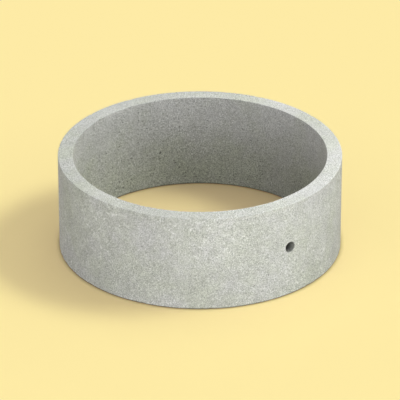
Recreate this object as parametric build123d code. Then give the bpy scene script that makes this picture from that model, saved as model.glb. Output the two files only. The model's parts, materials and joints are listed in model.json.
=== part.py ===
from build123d import *
import os

# A precast concrete ring for a culvert, well or manhole shaft, cast as one piece.
# It stands upright on its lower bed face. The origin is the centre of that face, +Z is the
# ring's axis, and the lifting hole looks along -Y. All sizes are in millimetres.

# Wall of the ring
INNER_DIAMETER = 1500.0
WALL_THICKNESS = 90.0
RING_HEIGHT = 590.0

# Lifting hole, cast straight through the wall for a sling pin; its height is from the lower bed
LIFTING_HOLE_DIAMETER = 65.0
LIFTING_HOLE_HEIGHT = 310.0

# The steel mould leaves every arris slightly rounded, and the hole's former bevels its mouths
OUTER_ARRIS_RADIUS = 4.0
INNER_ARRIS_RADIUS = 3.0
HOLE_MOUTH_BEVEL = 3.0

INNER_RADIUS = INNER_DIAMETER / 2
MIDDLE_RADIUS = INNER_RADIUS + WALL_THICKNESS / 2


def wall_section():
    """The upright wall beside the ring's axis, with its four arrises rounded."""
    with BuildSketch(Plane.XZ) as section:
        with Locations((INNER_RADIUS, 0)):
            Rectangle(WALL_THICKNESS, RING_HEIGHT, align=(Align.MIN, Align.MIN))
        fillet(section.vertices().group_by(Axis.X)[0], INNER_ARRIS_RADIUS)
        fillet(section.vertices().group_by(Axis.X)[-1], OUTER_ARRIS_RADIUS)
    return section.sketch


def hole_former():
    """The round bar that stands in the mould where the lifting hole is left.

    It is twice as long as the wall is thick, so it passes both curved faces of the wall.
    """
    bar = Cylinder(LIFTING_HOLE_DIAMETER / 2, 2 * WALL_THICKNESS)
    return Location((0, -MIDDLE_RADIUS, LIFTING_HOLE_HEIGHT), (90, 0, 0)) * bar


def hole_mouths(ring):
    """The two saddle-shaped edges where the lifting hole meets the curved faces of the wall."""
    hole_wall = ring.faces().filter_by(GeomType.CYLINDER).sort_by(SortBy.AREA)[0]
    return hole_wall.edges().filter_by(GeomType.LINE, reverse=True)


def cast_ring():
    """The turned wall with the lifting hole through it, as it comes out of the mould."""
    ring = revolve(wall_section(), Axis.Z) - hole_former()
    return chamfer(hole_mouths(ring), HOLE_MOUTH_BEVEL)


os.makedirs("parts", exist_ok=True)
export_step(cast_ring(), "parts/ring.step")
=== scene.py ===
import json
import math
import random

import bpy
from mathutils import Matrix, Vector, noise


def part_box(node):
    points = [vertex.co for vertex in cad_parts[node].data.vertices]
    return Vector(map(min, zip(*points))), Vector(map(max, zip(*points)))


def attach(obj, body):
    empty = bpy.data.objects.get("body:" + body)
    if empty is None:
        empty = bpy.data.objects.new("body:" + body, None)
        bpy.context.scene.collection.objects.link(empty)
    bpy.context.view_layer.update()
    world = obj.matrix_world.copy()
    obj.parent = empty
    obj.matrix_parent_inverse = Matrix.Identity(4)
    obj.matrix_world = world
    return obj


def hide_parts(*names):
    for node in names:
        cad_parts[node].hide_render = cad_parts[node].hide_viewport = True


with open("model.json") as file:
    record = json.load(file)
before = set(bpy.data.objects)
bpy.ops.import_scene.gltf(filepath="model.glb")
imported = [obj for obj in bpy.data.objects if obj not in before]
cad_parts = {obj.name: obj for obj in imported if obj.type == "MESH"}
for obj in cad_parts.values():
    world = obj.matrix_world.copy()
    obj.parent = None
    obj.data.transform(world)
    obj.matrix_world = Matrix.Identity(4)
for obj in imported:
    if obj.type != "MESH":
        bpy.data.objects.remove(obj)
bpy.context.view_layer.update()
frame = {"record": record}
MOUNTS = {mount["name"]: mount for mount in frame["record"]["mounts"]}

# The ring's sizes, in metres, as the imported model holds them
MM_PER_METRE = 1000
_, RING_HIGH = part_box("ring")
OUTER_RADIUS = RING_HIGH.x
INNER_RADIUS = MOUNTS["shaft_bore"]["dims"]["r_mm"] / MM_PER_METRE
MIDDLE_RADIUS = (INNER_RADIUS + OUTER_RADIUS) / 2
HEIGHT = RING_HIGH.z
HOLE_RADIUS = MOUNTS["lifting_hole"]["dims"]["r_mm"] / MM_PER_METRE
HOLE_HEIGHT = MOUNTS["lifting_hole"]["pos_m"][2]

# Camera, turned to the left of the lifting hole's side as the photograph was taken
CAMERA_TURN = math.radians(-38.35)
CAMERA_ELEVATION = math.radians(27.44)
CAMERA_DISTANCE = 21.0
CAMERA_LENS = 318.0
CAMERA_AIM_HEIGHT = 0.2744
CAMERA_FAR_CLIP = 200.0

# Grid of the cast surface: its columns round the ring and its rows round the wall's section
COLUMNS = 512
ARRIS_STEPS = 3
WALL_ROW = 0.014
RIM_ROW = 0.012
BED_ROW = 0.03
EDGE_ROWS = (0.005, 0.012)
OUTER_ARRIS = 0.004
INNER_ARRIS = 0.003
BED_BEVEL = 0.006
ROOT_2 = math.sqrt(2)

# Relief of the skin: the size and depth of its waves and ripples, and of the rim's own relief
SKIN_DEPTH = 0.0002
WAVE_SIZE = 0.22
WAVE_DEPTH = 0.0006
RIPPLE_SIZE = 0.035
RIPPLE_DEPTH = 0.0003
RIM_RELIEF_SIZE = 0.011
RIM_RELIEF_DEPTH = 0.0001

# Wear and chips on the arrises: how many chips on each, their half-length and their depth
CHIPS = {"top_outer": 26, "top_inner": 20, "bottom_outer": 30, "bottom_inner": 10}
CHIP_HALF_LENGTH = (0.005, 0.018)
CHIP_DEPTH = (0.0008, 0.0038)
WEAR_DEPTH = 0.0010
WEAR_SIZE = 0.03
WEAR_NOISE_SHIFT = 5.0

# Air pores in the skin: how many on each face, and the shape of their pits
RANDOM_SEED = 15
PORES = {"outer": 420, "inner": 520, "top": 120}
PORE_RADIUS = (0.0010, 0.0034)
PORE_SMALLNESS = 2.6
PORE_DEPTH = (0.9, 1.7)
PORE_SIDES = 8
PORE_UNEVENNESS = (0.82, 1.15)
PORE_NECK_WIDTH = 0.82
PORE_NECK_DEPTH = 0.6
PORE_ROOM = 1.25
PORELESS_ROWS = 2

# The lifting hole: its surround in the grid, the steps over its mouth's edge, and its rough wall
HOLE_COLUMNS = 5
HOLE_ROWS = 4
HOLE_SURROUND = (0.35, 0.62, 0.84)
HOLE_MOUTH = 0.003
HOLE_MOUTH_STEPS = 3
HOLE_MOUTH_UNEVENNESS = 0.5
HOLE_MOUTH_WAVES = 3
HOLE_MOUTH_NOISE_SHIFT = 9
HOLE_WALL_RINGS = 6
HOLE_WALL_GRAIN = 0.0006
HOLE_GRAIN_SIZE = 0.012

# Patterns of the concrete: size in metres, octaves, their roughness, and where the noise is read.
# A height scale below 1 draws a pattern out upwards, and one above 1 flattens it
WALL_GRAIN = (0.0069, 4.0, 0.75, (0, 0, 0))
RIM_GRAIN = (0.0052, 3.0, 0.75, (2, 7, 3))
GRAIN_CHANGE = (0.5, 1.0, 0.6, (15, 0, 1))
MOTTLE = (0.03, 1.0, 0.8, (3, 1, 2))
PATCHES = (0.11, 2.0, 0.7, (7, 16, 14))
CLOUDS = (0.45, 1.0, 0.5, (6, 15, 6))
STREAKS = (0.035, 2.0, 0.7, (2, 2, 9))
STREAK_HEIGHT_SCALE = 0.12
BLOTCHES = (0.028, 2.0, 0.6, (9, 4, 6))
BLOTCH_AREAS = (0.4, 0.0, 0.5, (15, 20, 18))
SPECK_AREAS = (0.20, 1.0, 0.5, (8, 4, 5))
HUE = (0.28, 4.0, 0.75, (20, 0, 20))

# Scattered dark spots: spacing in metres, height scale, where each fades as a share of the
# spacing, and the share of cells with a spot
SPECKS = (0.028, 2.2, (0.12, 0.32), 0.75)
PINHOLES = (0.018, 1.0, (0.07, 0.14), 0.8)

# Strengths as shares of the base colour; three numbers are for the inner wall, rim and outer wall
GRAIN_STRENGTH = (3.45, 3.5, 2.85)
MOTTLE_STRENGTH = (0.14, 0.10, 0.22)
PATCH_STRENGTH = (0.20, 0.22, 0.34)
CLOUD_STRENGTH = 0.27
STREAK_STRENGTH = 0.12
BLOTCH_STRENGTH = 0.26
SPECK_STRENGTH = (0.85, 0.16, 0.24)
PINHOLE_STRENGTH = 0.7

# Soft steps from one number to another, some with the results at both ends
RIM_NORMAL = (0.5, 0.9)
OUTSIDE_RADIUS = (0.78, 0.82)
GRAIN_CHANGE_RANGE = (0.3, 0.7, 0.85, 1.15)
BLOTCH_RANGE = (0.55, 0.68)
BLOTCH_AREA_RANGE = (0.45, 0.62)
SPECK_AREA_RANGE = (0.42, 0.62)
HUE_RANGE = (0.25, 0.75, 0.95, 0.05)

# Colour, gloss and bump of the concrete, and the painted shade in the lifting hole
COOL_CONCRETE = (0.595, 0.600, 0.583, 1)
WARM_CONCRETE = (0.587, 0.612, 0.527, 1)
HUE_BY_LEVEL = 0.8
HUE_BY_CLOUD = 1.2
# A painted tint of the light: the inner wall is painted cooler high up and warmer towards its foot
LIGHT_TINT_BY_HEIGHT = 0.4
LIGHT_TINT_HEIGHT = (0.28, 0.52)
# Painted shade in the lifting hole: its level from the inner to the outer wall, and where it fades over
# the mouth
HOLE_SHADE_LEVEL = (0.05, 0.50)
HOLE_SHADE_EDGE = (0.2, 0.6)
CONCRETE_ROUGHNESS = 0.88
ROUGHNESS_CHANGE = 0.2
CONCRETE_GLOSS = 0.3
BUMP_HEIGHT = 0.0006
MOTTLE_HEIGHT = 0.8
PIT_HEIGHT = -0.5
SHARP_ANGLE = math.radians(42)

# Floor and backdrop: the camera sees the floor's colour with painted shade near the ring, at its foot
# and inside it, and the bounces are the colours with which it lights the ring
WHITE = (1, 1, 1, 1)
FLOOR_RADIUS = 90.0
FLOOR_SIDES = 128
FLOOR_COLOUR = (1.87, 1.547, 0.71)
# Painted shade: the colour of the floor where the ring covers its sky
FLOOR_SHADE = (0.72, 0.67, 0.88, 1)
# Painted shade on the floor inside the ring
FLOOR_INSIDE_SHADE = (0.93, 0.92, 0.965, 1)
FLOOR_BOUNCE = (0.33, 0.31, 0.18, 1)
FLOOR_BOUNCE_INSIDE = (0.37, 0.34, 0.17, 1)
# Reaches of the painted shade and of the painted contact shadow, and the contact shadow's power
SHADE_REACH = 1.2
CONTACT_SHADE_REACH = 0.03
CONTACT_SHADE_POWER = 0.5
BACKDROP_COLOUR = (0.984, 0.817, 0.379, 1)

# Light. Lamps are at a turn to the right of the camera and an elevation, both in degrees, then
# a soft lamp has its spread in degrees and a board its distance in metres; levels come last
AMBIENT_COLOUR = (1.03, 1.0, 1.14, 1)
AMBIENT_LEVEL = 0.31
SOFT_LAMP_COLOUR = (0.93, 1.0, 0.80)
SOFT_LAMPS = (
    (90, 50, 15, 0.118),
    (105, 50, 15, 0.110),
    (165, 65, 40, 0.057),
)
SOFT_LAMP_POWER = math.pi
BOARDS = (
    (-90, 5, 2.5, 0.042),
    (-60, 25, 2.5, 0.035),
    (-30, 5, 6.0, 0.14),
    (0, 5, 2.5, 0.14),
    (30, 5, 2.5, 0.067),
    (60, 5, 2.5, 0.082),
    (60, 45, 2.5, 0.132),
    (120, 65, 4.0, 0.262),
    (165, 5, 4.0, 0.09),
    (-165, 5, 4.0, 0.09),
)
BOARD_POWER = 4 * math.pi
BOARD_WIDTH = 0.4


def add_object(name, data):
    made = bpy.data.objects.new(name, data)
    bpy.context.scene.collection.objects.link(made)
    return made


def aim(thing, away):
    """Turns a camera or lamp, which looks along its own -Z, to face against that direction."""
    thing.rotation_mode = "QUATERNION"
    thing.rotation_quaternion = away.to_track_quat("Z", "Y")


def turn_to(turn, elevation):
    """The direction that far to the right of the camera, seen from above, and that far up."""
    angle = CAMERA_TURN + turn
    flat = math.cos(elevation)
    return Vector((math.sin(angle) * flat, -math.cos(angle) * flat, math.sin(elevation)))


def add_camera():
    camera = add_object("camera", bpy.data.cameras.new("camera"))
    back = turn_to(0, CAMERA_ELEVATION)
    camera.location = back * CAMERA_DISTANCE + Vector((0, 0, CAMERA_AIM_HEIGHT))
    aim(camera, back)
    camera.data.lens = CAMERA_LENS
    camera.data.clip_end = CAMERA_FAR_CLIP
    bpy.context.scene.camera = camera


def noise_share(point):
    """Noise between about 0 and 1 at that point."""
    return 0.5 + 0.5 * noise.noise(point)


class Section:
    """The wall's section as stations round its outline, each with its place, normal and face."""

    def __init__(self):
        self.r, self.z, self.normal, self.face = [], [], [], []
        outer_top, inner_top = HEIGHT - OUTER_ARRIS, HEIGHT - INNER_ARRIS
        rim_outer, rim_inner = OUTER_RADIUS - OUTER_ARRIS, INNER_RADIUS + INNER_ARRIS
        bed_outer, bed_inner = OUTER_RADIUS - BED_BEVEL, INNER_RADIUS + BED_BEVEL
        self.run("outer", (OUTER_RADIUS, BED_BEVEL), (OUTER_RADIUS, outer_top), WALL_ROW)
        self.bend("top_outer", rim_outer, outer_top, OUTER_ARRIS, 0)
        self.run("top", (rim_outer, HEIGHT), (rim_inner, HEIGHT), RIM_ROW)
        self.bend("top_inner", rim_inner, inner_top, INNER_ARRIS, 1)
        self.run("inner", (INNER_RADIUS, inner_top), (INNER_RADIUS, BED_BEVEL), WALL_ROW)
        self.slope("bottom_inner", (INNER_RADIUS, BED_BEVEL), (bed_inner, 0))
        self.run("bed", (bed_inner, 0), (bed_outer, 0), BED_ROW)
        self.slope("bottom_outer", (bed_outer, 0), (OUTER_RADIUS, BED_BEVEL))

    def add(self, r, z, normal, face):
        self.r.append(r)
        self.z.append(z)
        self.normal.append(normal)
        self.face.append(face)

    def run(self, face, start, end, row):
        """A straight side with closer rows near both ends; its end belongs to what comes next."""
        length = math.dist(start, end)
        along = [(end[0] - start[0]) / length, (end[1] - start[1]) / length]
        normal = (along[1], -along[0])
        middle = length - 2 * EDGE_ROWS[-1]
        count = round(middle / row)
        places = [0, *EDGE_ROWS]
        places += [EDGE_ROWS[-1] + middle * k / count for k in range(1, count)]
        places += [length - edge for edge in reversed(EDGE_ROWS)]
        for place in places:
            self.add(start[0] + along[0] * place, start[1] + along[1] * place, normal, face)

    def bend(self, face, r, z, radius, quarter):
        """A rounded arris about (r, z), a quarter turn from where the side before it ends."""
        for k in range(ARRIS_STEPS):
            angle = (quarter + k / ARRIS_STEPS) * math.pi / 2
            normal = (math.cos(angle), math.sin(angle))
            self.add(r + radius * normal[0], z + radius * normal[1], normal, face)

    def slope(self, face, start, end):
        """A straight bevel at 45 degrees, with as many steps as a rounded arris."""
        normal = (math.copysign(ROOT_2 / 2, end[1] - start[1]), -ROOT_2 / 2)
        for k in range(ARRIS_STEPS):
            share = k / ARRIS_STEPS
            r = start[0] + (end[0] - start[0]) * share
            self.add(r, start[1] + (end[1] - start[1]) * share, normal, face)


class Chips:
    """Wear and chips along the four arrises, each a flat facet cut across the corner."""

    # The sharp corner's place, and how far along its diagonal the arris has already taken it back
    CORNERS = {
        "top_outer": (OUTER_RADIUS, HEIGHT, OUTER_ARRIS * (ROOT_2 - 1)),
        "top_inner": (INNER_RADIUS, HEIGHT, INNER_ARRIS * (ROOT_2 - 1)),
        "bottom_inner": (INNER_RADIUS, 0.0, BED_BEVEL / ROOT_2),
        "bottom_outer": (OUTER_RADIUS, 0.0, BED_BEVEL / ROOT_2),
    }

    def __init__(self, draw):
        self.hits = {}
        for name, count in CHIPS.items():
            radius = self.CORNERS[name][0]
            self.hits[name] = [
                (
                    draw.uniform(0, 2 * math.pi),
                    draw.uniform(*CHIP_HALF_LENGTH) / radius,
                    draw.uniform(*CHIP_DEPTH),
                )
                for _ in range(count)
            ]

    def depth(self, name, angle):
        """How far the corner is cut back along its diagonal at that angle round the ring."""
        radius, height, base = self.CORNERS[name]
        x, y = math.cos(angle) * radius, math.sin(angle) * radius
        cut = WEAR_DEPTH * noise_share(Vector((x, y, height + WEAR_NOISE_SHIFT)) / WEAR_SIZE)
        for middle, half, deepest in self.hits[name]:
            off = (angle - middle + math.pi) % (2 * math.pi) - math.pi
            if abs(off) < half:
                cut = max(cut, deepest * math.sqrt(1 - (off / half) ** 2))
        return base + cut

    def cut(self, r, z, angle):
        """The section point (r, z) moved back onto the facet of the corner that it is near."""
        level = "bottom" if z < HEIGHT / 2 else "top"
        side = "inner" if r < MIDDLE_RADIUS else "outer"
        name = f"{level}_{side}"
        corner_r, corner_z, base = self.CORNERS[name]
        way_r = 1 if side == "inner" else -1
        way_z = -1 if level == "top" else 1
        inside = ((r - corner_r) * way_r + (z - corner_z) * way_z) / ROOT_2
        if inside > base + CHIP_DEPTH[1]:
            return r, z
        push = max(0.0, self.depth(name, angle) - inside) / ROOT_2
        return r + way_r * push, z + way_z * push


def relief(point, face):
    """How far the skin lies under the true surface at that point of the ring."""
    depth = SKIN_DEPTH
    depth += WAVE_DEPTH * noise_share(point / WAVE_SIZE)
    depth += RIPPLE_DEPTH * noise_share(point / RIPPLE_SIZE)
    if face == "top":
        depth += RIM_RELIEF_DEPTH * noise_share(point / RIM_RELIEF_SIZE)
    return depth


class RingMesh:
    """Vertices and faces of the cast ring, on a grid of columns round it and rows round its section."""

    def __init__(self, seed):
        self.draw = random.Random(seed)
        self.section = Section()
        self.chips = Chips(self.draw)
        self.rows = len(self.section.r)
        self.points, self.faces = [], []
        self.taken = set()
        self.lay_grid()
        self.cut_hole()
        self.cut_pores()
        self.fill_grid()

    def add_point(self, point):
        self.points.append(tuple(point))
        return len(self.points) - 1

    def lay_grid(self):
        """The grid's points; its columns start in the middle of the lifting hole, on -Y."""
        section = self.section
        for column in range(COLUMNS):
            angle = 2 * math.pi * column / COLUMNS - math.pi / 2
            cos, sin = math.cos(angle), math.sin(angle)
            for row in range(self.rows):
                r, z = section.r[row], section.z[row]
                normal_r, normal_z = section.normal[row]
                depth = relief(Vector((r * cos, r * sin, z)), section.face[row])
                if section.face[row] == "bed":
                    depth = 0
                r, z = self.chips.cut(r - normal_r * depth, z - normal_z * depth, angle)
                self.add_point((r * cos, r * sin, z))

    def at(self, column, row):
        """The number of that grid point; columns and rows both close on themselves."""
        return (column % COLUMNS) * self.rows + row % self.rows

    def corners(self, column, row):
        """The four grid points of a cell, anticlockwise seen from outside the concrete."""
        corners = (column, row), (column + 1, row), (column + 1, row + 1), (column, row + 1)
        return [self.at(*corner) for corner in corners]

    def fill_grid(self):
        """Faces for the cells that neither the lifting hole nor a pore takes."""
        for column in range(COLUMNS):
            for row in range(self.rows):
                if (column, row) not in self.taken:
                    self.faces.append(self.corners(column, row))

    def hole_surround(self, face):
        """The grid points round the block of cells that the lifting hole takes on that face."""
        rows = [k for k in range(self.rows) if self.section.face[k] == face]
        middle = min(rows, key=lambda k: abs(self.section.z[k] - HOLE_HEIGHT))
        low, high = middle - HOLE_ROWS, middle + HOLE_ROWS
        left, right = -HOLE_COLUMNS, HOLE_COLUMNS
        for column in range(left, right):
            for row in range(low, high):
                self.taken.add((column % COLUMNS, row))
        loop = [self.at(column, low) for column in range(left, right)]
        loop += [self.at(right, row) for row in range(low, high)]
        loop += [self.at(column, high) for column in range(right, left, -1)]
        loop += [self.at(left, row) for row in range(high, low, -1)]
        return loop

    def join(self, ring, following):
        """Faces between a ring of points and the one that follows it."""
        count = len(ring)
        for k in range(count):
            after = (k + 1) % count
            self.faces.append([ring[k], ring[after], following[after], following[k]])

    def around_hole(self, k):
        """The angle of that point about the lifting hole's axis."""
        return math.atan2(self.points[k][2] - HOLE_HEIGHT, self.points[k][0])

    def flat_ring(self, face, loop, share, radius, into):
        """A ring on the wall, that share of the way from the loop of grid points to the mouth."""
        ring = []
        wide = HOLE_RADIUS + HOLE_MOUTH
        for k in loop:
            angle = self.around_hole(k)
            x = self.points[k][0] * (1 - share) + wide * math.cos(angle) * share
            z = self.points[k][2] * (1 - share) + (HOLE_HEIGHT + wide * math.sin(angle)) * share
            y = -math.sqrt(radius**2 - x**2)
            depth = relief(Vector((x, y, z)), face)
            ring.append(self.add_point((x, y * (1 - into * depth / radius), z)))
        return ring

    def edge_ring(self, face, loop, turn, radius, into):
        """A ring on the mouth's uneven edge, turned that far from the wall into the hole."""
        ring = []
        for angle in map(self.around_hole, loop):
            waves = (math.cos(angle) * HOLE_MOUTH_WAVES, math.sin(angle) * HOLE_MOUTH_WAVES)
            rough = noise.noise(Vector((*waves, radius * HOLE_MOUTH_NOISE_SHIFT)))
            reach = HOLE_MOUTH * (1 + HOLE_MOUTH_UNEVENNESS * rough)
            r = HOLE_RADIUS + reach * (1 - math.sin(turn))
            x, z = r * math.cos(angle), HOLE_HEIGHT + r * math.sin(angle)
            y = -math.sqrt(radius**2 - x**2)
            sunk = relief(Vector((x, y, z)), face) + reach * (1 - math.cos(turn))
            ring.append(self.add_point((x, y + into * sunk, z)))
        return ring

    def hole_mouth(self, face):
        """Rings from the grid to the hole, then over its worn edge; the last lies inside it."""
        loop = self.hole_surround(face)
        radius, into = (OUTER_RADIUS, 1) if face == "outer" else (INNER_RADIUS, -1)
        rings = [loop]
        for share in HOLE_SURROUND:
            rings.append(self.flat_ring(face, loop, share, radius, into))
        for step in range(HOLE_MOUTH_STEPS + 1):
            turn = step / HOLE_MOUTH_STEPS * math.pi / 2
            rings.append(self.edge_ring(face, loop, turn, radius, into))
        for ring, following in zip(rings, rings[1:]):
            self.join(ring, following)
        return rings[-1]

    def cut_hole(self):
        """The lifting hole through the wall, with its two mouths and its rough wall."""
        outer = self.hole_mouth("outer")
        inner = self.matched(outer, self.hole_mouth("inner"))
        before = outer
        for step in range(1, HOLE_WALL_RINGS):
            share = step / HOLE_WALL_RINGS
            ring = []
            for a, b in zip(outer, inner):
                point = Vector(self.points[a]).lerp(Vector(self.points[b]), share)
                grain = HOLE_WALL_GRAIN * noise_share(point / HOLE_GRAIN_SIZE)
                off = Vector((point.x, 0, point.z - HOLE_HEIGHT))
                ring.append(self.add_point(point + off.normalized() * grain))
            self.join(before, ring)
            before = ring
        self.join(before, inner)

    def matched(self, ring, other):
        """The other ring's points, which may run the other way round, each opposite this ring's."""
        first, second = (self.around_hole(k) for k in ring[:2])
        count = len(other)
        start = min(range(count), key=lambda k: abs(self.around_hole(other[k]) - first))
        forward = [other[(start + k) % count] for k in range(count)]
        backward = [other[(start - k) % count] for k in range(count)]
        return min(forward, backward, key=lambda way: abs(self.around_hole(way[1]) - second))

    def cut_pores(self):
        """Each face's pores, in cells that don't touch each other or the lifting hole's."""
        faces = self.section.face
        for face, count in PORES.items():
            rows = [k for k in range(self.rows - 1) if faces[k] == faces[k + 1] == face]
            rows = rows[PORELESS_ROWS:-PORELESS_ROWS]
            made = 0
            while made < count:
                column, row = self.draw.randrange(COLUMNS), self.draw.choice(rows)
                if self.is_free(column, row):
                    self.taken.add((column, row))
                    self.cut_pore(column, row)
                    made += 1

    def is_free(self, column, row):
        """Whether neither that cell nor one round it is taken."""
        columns = [k % COLUMNS for k in (column - 1, column, column + 1)]
        rows = (row - 1, row, row + 1)
        return not any((c, r) in self.taken for c in columns for r in rows)

    def cut_pore(self, column, row):
        """A many-sided pit in one cell of the grid: its mouth, its neck and its bottom."""
        draw = self.draw
        cell = self.corners(column, row)
        a, b, c, d = (Vector(self.points[k]) for k in cell)
        wide, tall = (b - a).length, (d - a).length
        inward = (d - a).cross(b - a).normalized()
        low, high = PORE_RADIUS
        radius = low + (high - low) * draw.random() ** PORE_SMALLNESS
        depth = radius * draw.uniform(*PORE_DEPTH)
        room_u, room_v = PORE_ROOM * radius / wide, PORE_ROOM * radius / tall
        middle_u = draw.uniform(room_u, 1 - room_u)
        middle_v = draw.uniform(room_v, 1 - room_v)

        def place(u, v, deep):
            flat = a * (1 - u) * (1 - v) + b * u * (1 - v) + c * u * v + d * (1 - u) * v
            return self.add_point(flat + inward * deep)

        mouth, neck = [], []
        for k in range(PORE_SIDES):
            angle = math.radians(360 / PORE_SIDES * (k + 0.5) - 180)
            r = radius * draw.uniform(*PORE_UNEVENNESS)
            u, v = math.cos(angle) * r / wide, math.sin(angle) * r / tall
            mouth.append(place(middle_u + u, middle_v + v, 0))
            u, v = u * PORE_NECK_WIDTH, v * PORE_NECK_WIDTH
            neck.append(place(middle_u + u, middle_v + v, depth * PORE_NECK_DEPTH))
        bottom = place(middle_u, middle_v, depth)
        self.join_cell(cell, mouth)
        for k in range(PORE_SIDES):
            after = (k + 1) % PORE_SIDES
            self.faces.append([mouth[k], mouth[after], neck[after], neck[k]])
            self.faces.append([neck[k], neck[after], bottom])

    def join_cell(self, cell, mouth):
        """Faces between a cell's four corners and a pore's mouth, which has two sides for each."""
        for side in range(4):
            start, end = cell[side], cell[(side + 1) % 4]
            corner, first = mouth[2 * side], mouth[2 * side + 1]
            second = mouth[(2 * side + 2) % PORE_SIDES]
            self.faces.append([start, end, second, first])
            self.faces.append([start, first, corner])

    def used(self):
        """The vertices, edges and faces, without the grid points that the lifting hole takes away."""
        kept = sorted({k for face in self.faces for k in face})
        place = {k: new for new, k in enumerate(kept)}
        return [self.points[k] for k in kept], [], [[place[k] for k in face] for face in self.faces]


class Shader:
    """A node tree of a material or the world, built up by short calls."""

    # A Mix node has a set of sockets for each kind of value; these are its factor and colours
    MIX_INPUTS = (0, 6, 7)
    MIX_OUTPUT = 2

    def __init__(self, owner):
        owner.use_nodes = True
        self.tree = owner.node_tree
        self.tree.nodes.clear()

    def node(self, kind, **settings):
        made = self.tree.nodes.new("ShaderNode" + kind)
        for name, value in settings.items():
            setattr(made, name, value)
        return made

    def feed(self, socket, value):
        """Puts a number, a colour or another node's output into a socket."""
        if isinstance(value, bpy.types.NodeSocket):
            self.tree.links.new(value, socket)
        else:
            socket.default_value = value

    def feed_all(self, sockets, values):
        for socket, value in zip(sockets, values):
            self.feed(socket, value)

    def calc(self, operation, *values):
        made = self.node("Math", operation=operation)
        self.feed_all(made.inputs, values)
        return made.outputs["Value"]

    def scaled(self, value, factor, total):
        """The value times the factor, added to the total."""
        return self.calc("MULTIPLY_ADD", value, factor, total)

    def ramp(self, value, low, high, to_low=0.0, to_high=1.0):
        """A soft step from to_low to to_high while the value goes from low to high."""
        made = self.node("MapRange", interpolation_type="SMOOTHSTEP")
        self.feed_all(made.inputs, (value, low, high, to_low, to_high))
        return made.outputs["Result"]

    def blend(self, share, first, second):
        made = self.node("Mix", data_type="RGBA")
        self.feed_all([made.inputs[k] for k in self.MIX_INPUTS], (share, first, second))
        return made.outputs[self.MIX_OUTPUT]

    def times(self, first, second):
        """The product of two colours."""
        made = self.node("VectorMath", operation="MULTIPLY")
        self.feed_all(made.inputs, (first, second))
        return made.outputs[0]

    def parts(self, vector):
        """The vector's x, y and z."""
        made = self.node("SeparateXYZ")
        self.feed(made.inputs[0], vector)
        return made.outputs

    def openness(self, reach):
        """The share of the sky over the surface that nothing within that reach covers."""
        made = self.node("AmbientOcclusion")
        self.feed(made.inputs["Distance"], reach)
        return made.outputs["AO"]

    def seen_directly(self):
        """1 for the camera's rays and for reflected and transmitted ones, 0 for diffuse light."""
        rays = self.node("LightPath")
        seen = self.calc("MAXIMUM", rays.outputs["Is Camera Ray"], rays.outputs["Is Glossy Ray"])
        return self.calc("MAXIMUM", seen, rays.outputs["Is Transmission Ray"])

    def output(self, kind, surface):
        self.feed(self.node(kind).inputs["Surface"], surface)


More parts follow.
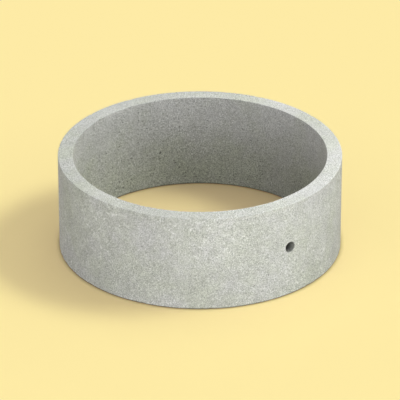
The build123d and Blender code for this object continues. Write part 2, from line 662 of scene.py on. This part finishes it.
class Concrete(Shader):
    """Light grey cast concrete: fine grain, soft mottling, paler blotches, faint streaks and specks."""

    def __init__(self):
        self.material = bpy.data.materials.new("concrete")
        super().__init__(self.material)
        coordinates = self.node("TexCoord")
        self.place = coordinates.outputs["Object"]
        self.find_faces(coordinates.outputs["Normal"])
        self.find_patterns()
        level = self.level()
        hue = self.hue(level)
        # The level carries the painted shade in the lifting hole
        self.finish(hue, self.calc("MULTIPLY", level, self.hole_shade()))

    def find_faces(self, normal):
        """Which face of the ring this is: the rim lies flat, and the inner wall is nearer the axis."""
        x, self.y, self.z = self.parts(self.place)
        self.x_squared = self.calc("POWER", x, 2.0)
        y_squared = self.calc("POWER", self.y, 2.0)
        self.radius = self.calc("SQRT", self.calc("ADD", self.x_squared, y_squared))
        self.on_rim = self.ramp(self.parts(normal)["Z"], *RIM_NORMAL)
        self.on_wall = self.calc("SUBTRACT", 1.0, self.on_rim)
        outside = self.ramp(self.radius, *OUTSIDE_RADIUS)
        self.outside = self.calc("MULTIPLY", self.on_wall, outside)
        self.inside = self.calc("SUBTRACT", self.on_wall, self.outside)

    def find_patterns(self):
        """The patterns that more than one part of the material uses."""
        wall_grain, rim_grain = self.noise(WALL_GRAIN), self.noise(RIM_GRAIN)
        change = self.calc("SUBTRACT", rim_grain, wall_grain)
        self.grain = self.scaled(self.on_rim, change, wall_grain)
        self.mottle = self.noise(MOTTLE)
        self.clouds = self.noise(CLOUDS)
        areas = self.ramp(self.noise(SPECK_AREAS), *SPECK_AREA_RANGE)
        self.specks = self.calc("MULTIPLY", self.dots(*SPECKS), areas)
        self.pinholes = self.dots(*PINHOLES)

    def shifted(self, offset, height_scale):
        """The place on the ring, moved by that offset, with its height scaled."""
        made = self.node("Mapping")
        self.feed(made.inputs["Vector"], self.place)
        self.feed(made.inputs["Location"], offset)
        self.feed(made.inputs["Scale"], (1, 1, height_scale))
        return made.outputs["Vector"]

    def noise(self, pattern, height_scale=1):
        """Noise between 0 and 1, whose largest features are about the pattern's size across."""
        size, octaves, roughness, offset = pattern
        made = self.node("TexNoise")
        self.feed(made.inputs["Vector"], self.shifted(offset, height_scale))
        self.feed(made.inputs["Scale"], 1 / size)
        self.feed(made.inputs["Detail"], octaves)
        self.feed(made.inputs["Roughness"], roughness)
        return made.outputs["Fac"]

    def dots(self, spacing, height_scale, fade, share):
        """Scattered spots, 1 in the middle, in that share of the cells; most of them are faint."""
        cells = self.node("TexVoronoi", feature="F1")
        self.feed(cells.inputs["Vector"], self.shifted((0, 0, 0), height_scale))
        self.feed(cells.inputs["Scale"], 1 / spacing)
        shape = self.ramp(cells.outputs["Distance"], *fade, 1.0, 0.0)
        chosen = self.ramp(self.parts(cells.outputs["Color"])["X"], 1 - share, 1.0)
        return self.calc("MULTIPLY", shape, chosen)

    def layer(self, total, pattern, strength):
        """Adds a pattern about its middle, with its strength as a share of the base colour."""
        return self.scaled(self.calc("SUBTRACT", pattern, 0.5), strength, total)

    def by_face(self, inner, rim, outer):
        """The one of the three numbers that is for the face at hand."""
        return self.scaled(self.outside, outer - inner, self.scaled(self.on_rim, rim - inner, inner))

    def level(self):
        """The concrete's brightness, as a share of its base colour."""
        unevenness = self.ramp(self.noise(GRAIN_CHANGE), *GRAIN_CHANGE_RANGE)
        grain_strength = self.calc("MULTIPLY", self.by_face(*GRAIN_STRENGTH), unevenness)
        level = self.layer(1.0, self.grain, grain_strength)
        level = self.layer(level, self.mottle, self.by_face(*MOTTLE_STRENGTH))
        level = self.layer(level, self.noise(PATCHES), self.by_face(*PATCH_STRENGTH))
        level = self.layer(level, self.clouds, CLOUD_STRENGTH)
        streak_strength = self.calc("MULTIPLY", self.on_wall, STREAK_STRENGTH)
        level = self.layer(level, self.noise(STREAKS, STREAK_HEIGHT_SCALE), streak_strength)
        level = self.scaled(self.blotches(), BLOTCH_STRENGTH, level)
        specks = self.calc("MULTIPLY", self.specks, self.by_face(*SPECK_STRENGTH))
        level = self.calc("SUBTRACT", level, specks)
        return self.scaled(self.pinholes, -PINHOLE_STRENGTH, level)

    def blotches(self):
        """Paler blotches, which gather in some areas of the outer wall."""
        blotches = self.ramp(self.noise(BLOTCHES), *BLOTCH_RANGE)
        areas = self.ramp(self.noise(BLOTCH_AREAS), *BLOTCH_AREA_RANGE)
        return self.calc("MULTIPLY", self.calc("MULTIPLY", blotches, areas), self.outside)

    def hue(self, level):
        """How warm the concrete is, from 0 to 1: more where it is darker, and less high up inside, a
        painted tint of the light.
        """
        hue = self.layer(self.ramp(self.noise(HUE), *HUE_RANGE), self.clouds, -HUE_BY_CLOUD)
        hue = self.scaled(self.calc("SUBTRACT", 1.0, level), HUE_BY_LEVEL, hue)
        # Painted light tint: cooler high up on the inner wall
        high_inside = self.calc("MULTIPLY", self.inside, self.ramp(self.z, *LIGHT_TINT_HEIGHT))
        return self.scaled(high_inside, -LIGHT_TINT_BY_HEIGHT, hue)

    def hole_shade(self):
        """Painted shade on the lifting hole's wall, darkest where the hole meets the inner wall."""
        up = self.calc("POWER", self.calc("SUBTRACT", self.z, HOLE_HEIGHT), 2.0)
        behind = self.calc("POWER", self.calc("MAXIMUM", self.y, 0.0), 2.0)
        squares = self.calc("ADD", self.calc("ADD", self.x_squared, up), behind)
        # Painted shade, darker the deeper it lies in the hole
        shade_level = self.ramp(self.radius, INNER_RADIUS, OUTER_RADIUS, *HOLE_SHADE_LEVEL)
        low, high = (HOLE_RADIUS + HOLE_MOUTH * share for share in HOLE_SHADE_EDGE)
        return self.ramp(self.calc("SQRT", squares), low, high, shade_level, 1.0)

    def finish(self, hue, level):
        """The rough surface with its colour and the bump of its grain, mottling and pits."""
        colour = self.node("VectorMath", operation="SCALE")
        self.feed(colour.inputs[0], self.blend(hue, COOL_CONCRETE, WARM_CONCRETE))
        self.feed(colour.inputs["Scale"], level)
        height = self.layer(0.0, self.grain, 1.0)
        height = self.layer(height, self.mottle, MOTTLE_HEIGHT)
        height = self.scaled(self.specks, PIT_HEIGHT, height)
        height = self.scaled(self.pinholes, PIT_HEIGHT, height)
        bump = self.node("Bump")
        self.feed(bump.inputs["Strength"], 1.0)
        self.feed(bump.inputs["Distance"], BUMP_HEIGHT)
        self.feed(bump.inputs["Height"], height)
        surface = self.node("BsdfPrincipled")
        roughness = self.layer(CONCRETE_ROUGHNESS, self.grain, ROUGHNESS_CHANGE)
        self.feed(surface.inputs["Specular IOR Level"], CONCRETE_GLOSS)
        self.feed(surface.inputs["Base Color"], colour.outputs[0])
        self.feed(surface.inputs["Roughness"], roughness)
        self.feed(surface.inputs["Normal"], bump.outputs["Normal"])
        self.output("OutputMaterial", surface.outputs["BSDF"])


def add_ring():
    mesh = bpy.data.meshes.new("cast_ring")
    mesh.from_pydata(*RingMesh(RANDOM_SEED).used())
    ring = add_object("cast_ring", mesh)
    mesh.shade_smooth()
    mesh.set_sharp_from_angle(angle=SHARP_ANGLE)
    mesh.materials.append(Concrete().material)
    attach(ring, "root")
    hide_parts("ring")
    return ring


def add_floor():
    """A wide pale yellow floor with painted shade near the ring and inside it, which throws a low warm
    light back on it.
    """
    mesh = bpy.data.meshes.new("floor")
    around = [2 * math.pi * k / FLOOR_SIDES for k in range(FLOOR_SIDES)]
    rim = [(FLOOR_RADIUS * math.cos(a), FLOOR_RADIUS * math.sin(a), 0) for a in around]
    mesh.from_pydata(rim, [], [list(range(FLOOR_SIDES))])
    floor = add_object("floor", mesh)
    material = bpy.data.materials.new("floor")
    shader = Shader(material)
    from_axis = shader.node("VectorMath", operation="LENGTH")
    shader.feed(from_axis.inputs[0], shader.node("TexCoord").outputs["Object"])
    inside = shader.calc("LESS_THAN", from_axis.outputs["Value"], INNER_RADIUS)
    # Painted shade where the ring covers the floor's sky
    shade = shader.blend(shader.openness(SHADE_REACH), FLOOR_SHADE, WHITE)
    # Painted contact shadow at the ring's foot
    contact_shade = shader.calc("POWER", shader.openness(CONTACT_SHADE_REACH), CONTACT_SHADE_POWER)
    shown = shader.times(shader.times(shade, FLOOR_COLOUR), contact_shade)
    # Painted shade inside the ring
    shown = shader.times(shown, shader.blend(inside, WHITE, FLOOR_INSIDE_SHADE))
    bounce = shader.blend(inside, FLOOR_BOUNCE, FLOOR_BOUNCE_INSIDE)
    surface = shader.node("BsdfDiffuse")
    shader.feed(surface.inputs["Color"], shader.blend(shader.seen_directly(), bounce, shown))
    shader.output("OutputMaterial", surface.outputs["BSDF"])
    mesh.materials.append(material)


def add_world():
    """Even light from all round; the camera sees the floor's colour go on behind the floor."""
    world = bpy.data.worlds.new("studio")
    bpy.context.scene.world = world
    shader = Shader(world)
    light = shader.node("Background")
    shader.feed_all(light.inputs, (AMBIENT_COLOUR, AMBIENT_LEVEL))
    backdrop = shader.node("Background")
    shader.feed(backdrop.inputs["Color"], BACKDROP_COLOUR)
    mix = shader.node("MixShader")
    shares = (shader.seen_directly(), light.outputs[0], backdrop.outputs[0])
    shader.feed_all(mix.inputs, shares)
    shader.output("OutputWorld", mix.outputs[0])


def add_lamp(name, kind, turn, elevation, energy):
    """A lamp that shines on the ring from that direction, and the direction."""
    lamp = add_object(name, bpy.data.lights.new(name, kind))
    lamp.data.energy = energy
    lamp.visible_camera = False
    direction = turn_to(math.radians(turn), math.radians(elevation))
    aim(lamp, direction)
    return lamp, direction


def add_lights(ring):
    """Wide soft lamps for the whole set, and boards near the ring that light it alone."""
    for turn, elevation, spread, level in SOFT_LAMPS:
        lamp, _ = add_lamp("soft_lamp", "SUN", turn, elevation, level * SOFT_LAMP_POWER)
        lamp.data.angle = math.radians(spread)
        lamp.data.color = SOFT_LAMP_COLOUR
    lit = bpy.data.collections.new("lit_by_boards")
    lit.objects.link(ring)
    for turn, elevation, distance, level in BOARDS:
        energy = level * BOARD_POWER * distance**2
        board, direction = add_lamp("board", "AREA", turn, elevation, energy)
        board.data.size = BOARD_WIDTH * distance
        board.location = direction * distance + Vector((0, 0, HEIGHT / 2))
        board.light_linking.receiver_collection = lit


add_camera()
ring = add_ring()
add_floor()
add_world()
add_lights(ring)
bpy.context.scene.view_settings.view_transform = "Standard"
